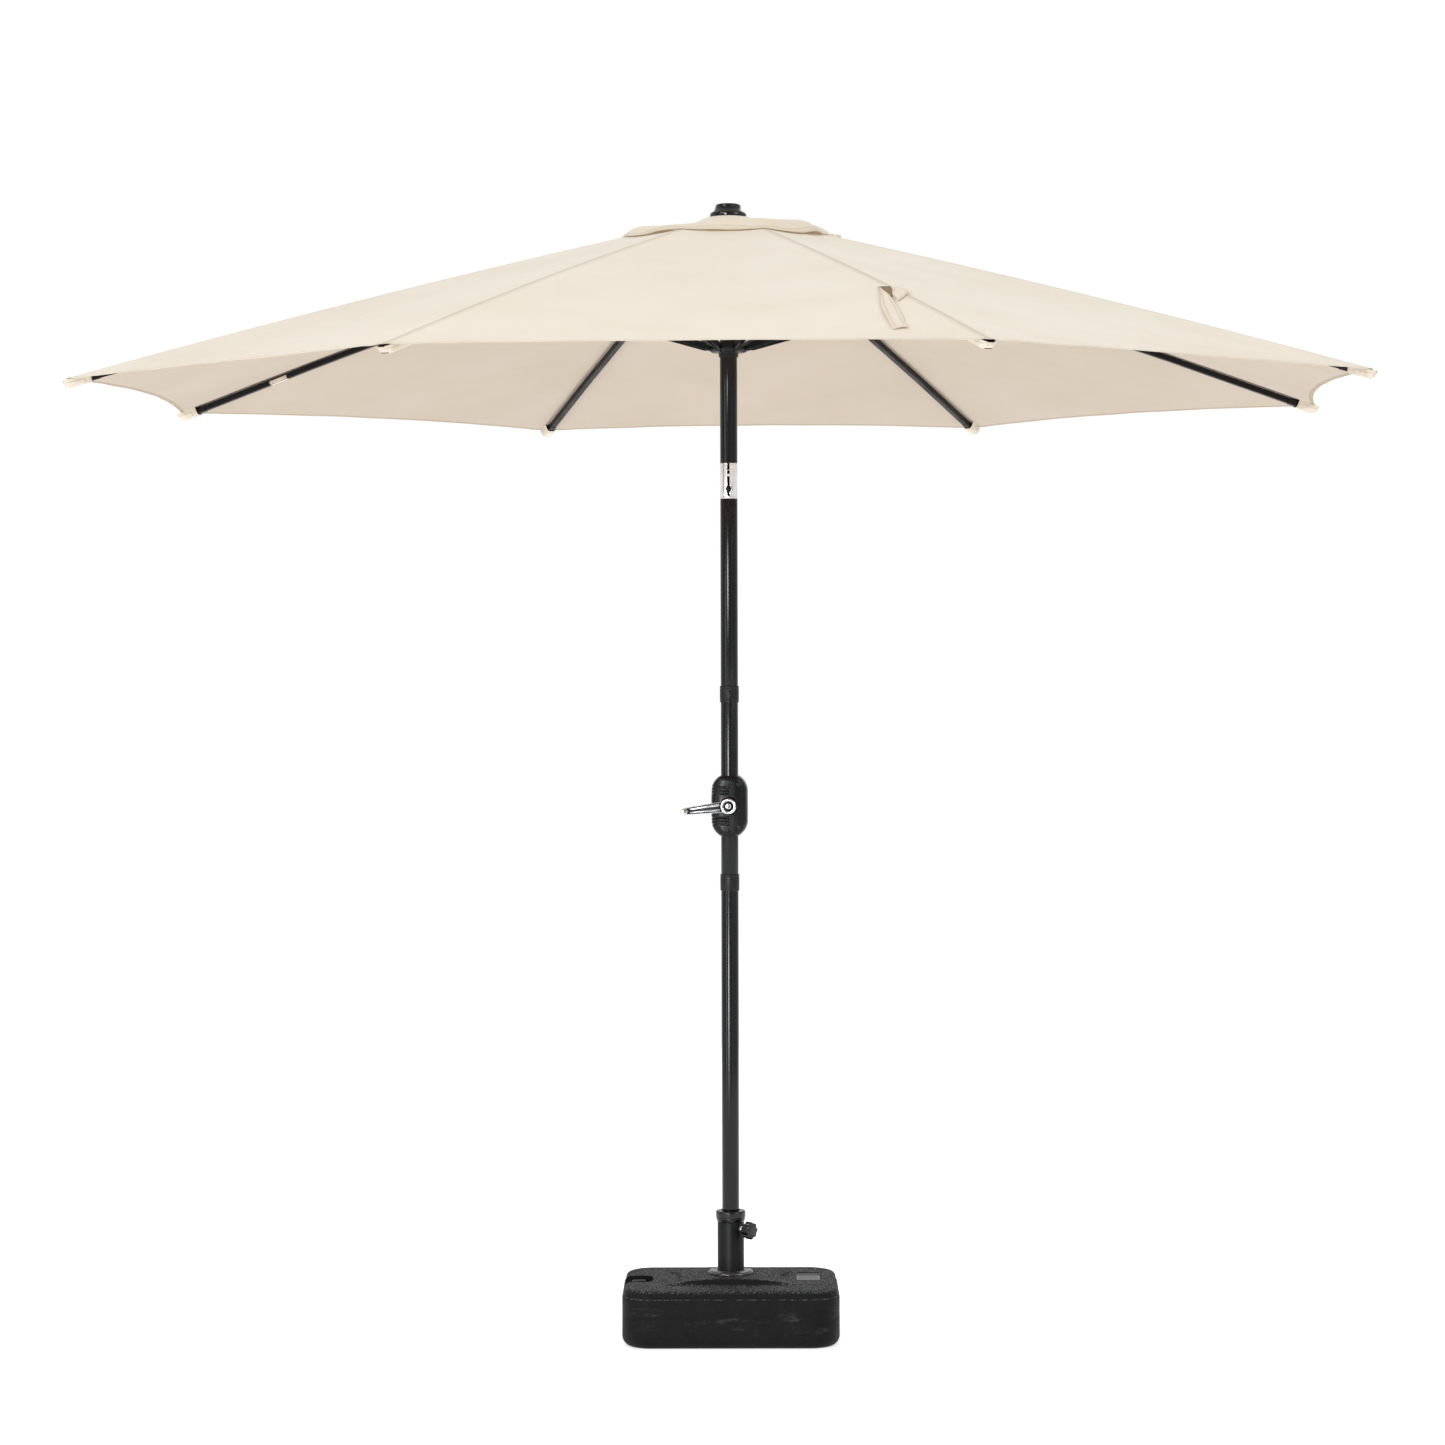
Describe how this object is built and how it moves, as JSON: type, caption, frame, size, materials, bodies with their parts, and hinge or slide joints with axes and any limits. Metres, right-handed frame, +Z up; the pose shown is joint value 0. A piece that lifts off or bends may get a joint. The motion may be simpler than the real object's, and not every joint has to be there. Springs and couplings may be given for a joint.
{
  "type": "patio umbrella with base",
  "caption": "Market umbrella with a folding octagonal fabric canopy, crank lift, push-button tilt, jointed steel pole and a water-filled rectangular base.",
  "frame": {"origin": "on the floor under the pole's axis, which is the centre of the base and of the open canopy", "axes": "+Z up along the pole; the base's long side lies along X and its front faces -Y; the umbrella is turned 3.42 degrees about Z on the base, towards -X at the front"},
  "size_m": [2.7398, 2.7398, 2.4975],
  "materials": {
    "tank_plastic": "moulded, fine grain",
    "black_plastic": "satin",
    "gloss_black": "glossy",
    "pole_paint": "powder coated, satin",
    "rib_paint": "painted, satin",
    "bright_metal": "polished",
    "canopy_cloth": "plain weave polyester, cream",
    "vent_cloth": "plain weave polyester, cream",
    "water": "filling, not seen"
  },
  "bodies": {
    "base": {"base_tank": "tank_plastic", "water_fill": "water", "base_plate": "black_plastic", "foot_ring": "gloss_black", "post_tube": "pole_paint", "post_bush": "black_plastic", "post_collar": "gloss_black", "clamp_nut": "bright_metal"},
    "fill_plug": {"fill_plug": "black_plastic"},
    "clamp_screw": {"clamp_screw": "bright_metal"},
    "clamp_knob": {"clamp_knob": "gloss_black"},
    "mast": {"lower_pole": "pole_paint", "lower_coupler": "black_plastic", "mid_pole": "pole_paint", "crank_box_left": "black_plastic", "crank_box_right": "black_plastic", "crank_box_screw": "bright_metal", "upper_coupler": "black_plastic", "upper_pole": "pole_paint", "tilt_base": "bright_metal"},
    "crank": {"crank_shaft": "bright_metal", "crank_arm": "bright_metal"},
    "crank_grip": {"crank_grip": "black_plastic"},
    "mast_top": {"tilt_fork": "bright_metal", "tilt_pin": "bright_metal", "top_pole": "pole_paint", "top_hub": "black_plastic", "hub_wire": "bright_metal", "finial": "gloss_black", "vent_cap": "vent_cloth"},
    "tilt_button": {"tilt_button": "gloss_black"},
    "runner": {"runner": "black_plastic", "runner_wire": "bright_metal"},
    "rib_1": {"rib_1": "rib_paint", "canopy_1": "canopy_cloth"},
    "stretcher_1": {"stretcher_1": "rib_paint"},
    "rib_2": {"rib_2": "rib_paint", "canopy_2": "canopy_cloth", "closing_strap": "vent_cloth"},
    "stretcher_2": {"stretcher_2": "rib_paint"},
    "rib_3": {"rib_3": "rib_paint", "canopy_3": "canopy_cloth"},
    "stretcher_3": {"stretcher_3": "rib_paint"},
    "rib_4": {"rib_4": "rib_paint", "canopy_4": "canopy_cloth"},
    "stretcher_4": {"stretcher_4": "rib_paint"},
    "rib_5": {"rib_5": "rib_paint", "canopy_5": "canopy_cloth"},
    "stretcher_5": {"stretcher_5": "rib_paint"},
    "rib_6": {"rib_6": "rib_paint", "canopy_6": "canopy_cloth"},
    "stretcher_6": {"stretcher_6": "rib_paint"},
    "rib_7": {"rib_7": "rib_paint", "canopy_7": "canopy_cloth", "rib_loop": "vent_cloth"},
    "stretcher_7": {"stretcher_7": "rib_paint"},
    "rib_8": {"rib_8": "rib_paint", "canopy_8": "canopy_cloth"},
    "stretcher_8": {"stretcher_8": "rib_paint"}
  },
  "joints": [
    {"name": "mast_swivel", "type": "hinge", "parent": "base", "child": "mast", "pos_m": [0, 0, 0.03], "axis": [0, 0, 1], "continuous": true},
    {"name": "tilt", "type": "hinge", "parent": "mast", "child": "mast_top", "pos_m": [0, 0, 1.903], "axis": [0.9982, -0.0597, 0], "range_deg": [-30, 0]},
    {"name": "tilt_press", "type": "slide", "parent": "mast_top", "child": "tilt_button", "axis": [0.0597, 0.9982, 0], "range_m": [0, 0.003], "stiffness_N_per_m": 600},
    {"name": "crank_turn", "type": "hinge", "parent": "mast", "child": "crank", "pos_m": [0, 0, 1.1758], "axis": [0.0597, 0.9982, 0], "range_deg": [0, 4320]},
    {"name": "grip_spin", "type": "hinge", "parent": "crank", "child": "crank_grip", "pos_m": [-0.09882, -0.07223, 1.16455], "axis": [0.0597, 0.9982, 0], "continuous": true},
    {"name": "clamp_advance", "type": "slide", "parent": "base", "child": "clamp_screw", "axis": [0.7431, -0.6691, 0], "range_m": [0, 0.00375]},
    {"name": "clamp_turn", "type": "hinge", "parent": "clamp_screw", "child": "clamp_knob", "pos_m": [0, 0, 0.24], "axis": [0.7431, -0.6691, 0], "range_deg": [0, 1080]},
    {"name": "plug_lift", "type": "slide", "parent": "base", "child": "fill_plug", "axis": [0, 0, 1], "range_m": [0, 0.03]},
    {"name": "canopy_close", "type": "hinge", "parent": "mast_top", "child": "rib_1", "pos_m": [-0.01661, -0.03418, 2.452], "axis": [0.8994, -0.4371, 0], "range_deg": [0, 70], "deforming": ["canopy_1", "canopy_2", "canopy_3", "canopy_4", "canopy_5", "canopy_6", "canopy_7", "canopy_8", "vent_cap", "closing_strap"]},
    {"name": "stretcher_1_fold", "type": "hinge", "parent": "rib_1", "child": "stretcher_1", "pos_m": [-0.22511, -0.46319, 2.316], "axis": [0.8994, -0.4371, 0], "range_deg": [-140, 0]},
    {"name": "rib_2_fold", "type": "hinge", "parent": "mast_top", "child": "rib_2", "pos_m": [0.01242, -0.03591, 2.452], "axis": [0.9451, 0.3269, 0], "range_deg": [0, 70]},
    {"name": "stretcher_2_fold", "type": "hinge", "parent": "rib_2", "child": "stretcher_2", "pos_m": [0.16834, -0.4867, 2.316], "axis": [0.9451, 0.3269, 0], "range_deg": [-140, 0]},
    {"name": "rib_3_fold", "type": "hinge", "parent": "mast_top", "child": "rib_3", "pos_m": [0.03418, -0.01661, 2.452], "axis": [0.4371, 0.8994, 0], "range_deg": [0, 70]},
    {"name": "stretcher_3_fold", "type": "hinge", "parent": "rib_3", "child": "stretcher_3", "pos_m": [0.46319, -0.22511, 2.316], "axis": [0.4371, 0.8994, 0], "range_deg": [-140, 0]},
    {"name": "rib_4_fold", "type": "hinge", "parent": "mast_top", "child": "rib_4", "pos_m": [0.03591, 0.01242, 2.452], "axis": [-0.3269, 0.9451, 0], "range_deg": [0, 70]},
    {"name": "stretcher_4_fold", "type": "hinge", "parent": "rib_4", "child": "stretcher_4", "pos_m": [0.4867, 0.16834, 2.316], "axis": [-0.3269, 0.9451, 0], "range_deg": [-140, 0]},
    {"name": "rib_5_fold", "type": "hinge", "parent": "mast_top", "child": "rib_5", "pos_m": [0.01661, 0.03418, 2.452], "axis": [-0.8994, 0.4371, 0], "range_deg": [0, 70]},
    {"name": "stretcher_5_fold", "type": "hinge", "parent": "rib_5", "child": "stretcher_5", "pos_m": [0.22511, 0.46319, 2.316], "axis": [-0.8994, 0.4371, 0], "range_deg": [-140, 0]},
    {"name": "rib_6_fold", "type": "hinge", "parent": "mast_top", "child": "rib_6", "pos_m": [-0.01242, 0.03591, 2.452], "axis": [-0.9451, -0.3269, 0], "range_deg": [0, 70]},
    {"name": "stretcher_6_fold", "type": "hinge", "parent": "rib_6", "child": "stretcher_6", "pos_m": [-0.16834, 0.4867, 2.316], "axis": [-0.9451, -0.3269, 0], "range_deg": [-140, 0]},
    {"name": "rib_7_fold", "type": "hinge", "parent": "mast_top", "child": "rib_7", "pos_m": [-0.03418, 0.01661, 2.452], "axis": [-0.4371, -0.8994, 0], "range_deg": [0, 70]},
    {"name": "stretcher_7_fold", "type": "hinge", "parent": "rib_7", "child": "stretcher_7", "pos_m": [-0.46319, 0.22511, 2.316], "axis": [-0.4371, -0.8994, 0], "range_deg": [-140, 0]},
    {"name": "rib_8_fold", "type": "hinge", "parent": "mast_top", "child": "rib_8", "pos_m": [-0.03591, -0.01242, 2.452], "axis": [0.3269, -0.9451, 0], "range_deg": [0, 70]},
    {"name": "stretcher_8_fold", "type": "hinge", "parent": "rib_8", "child": "stretcher_8", "pos_m": [-0.4867, -0.16834, 2.316], "axis": [0.3269, -0.9451, 0], "range_deg": [-140, 0]},
    {"name": "runner_fold", "type": "hinge", "parent": "stretcher_1", "child": "runner", "pos_m": [-0.01661, -0.03418, 2.18], "axis": [0.8994, -0.4371, 0], "range_deg": [0, 70]}
  ],
  "couplings": [
    {"joint": "crank_turn", "follows": "canopy_close", "ratio": 61.714},
    {"joint": "clamp_advance", "follows": "clamp_turn", "m_per_rad": 0.00019894},
    {"joint": "stretcher_1_fold", "follows": "canopy_close", "ratio": -2},
    {"joint": "rib_2_fold", "follows": "canopy_close", "ratio": 1},
    {"joint": "stretcher_2_fold", "follows": "canopy_close", "ratio": -2},
    {"joint": "rib_3_fold", "follows": "canopy_close", "ratio": 1},
    {"joint": "stretcher_3_fold", "follows": "canopy_close", "ratio": -2},
    {"joint": "rib_4_fold", "follows": "canopy_close", "ratio": 1},
    {"joint": "stretcher_4_fold", "follows": "canopy_close", "ratio": -2},
    {"joint": "rib_5_fold", "follows": "canopy_close", "ratio": 1},
    {"joint": "stretcher_5_fold", "follows": "canopy_close", "ratio": -2},
    {"joint": "rib_6_fold", "follows": "canopy_close", "ratio": 1},
    {"joint": "stretcher_6_fold", "follows": "canopy_close", "ratio": -2},
    {"joint": "rib_7_fold", "follows": "canopy_close", "ratio": 1},
    {"joint": "stretcher_7_fold", "follows": "canopy_close", "ratio": -2},
    {"joint": "rib_8_fold", "follows": "canopy_close", "ratio": 1},
    {"joint": "stretcher_8_fold", "follows": "canopy_close", "ratio": -2},
    {"joint": "runner_fold", "follows": "canopy_close", "ratio": 1}
  ]
}
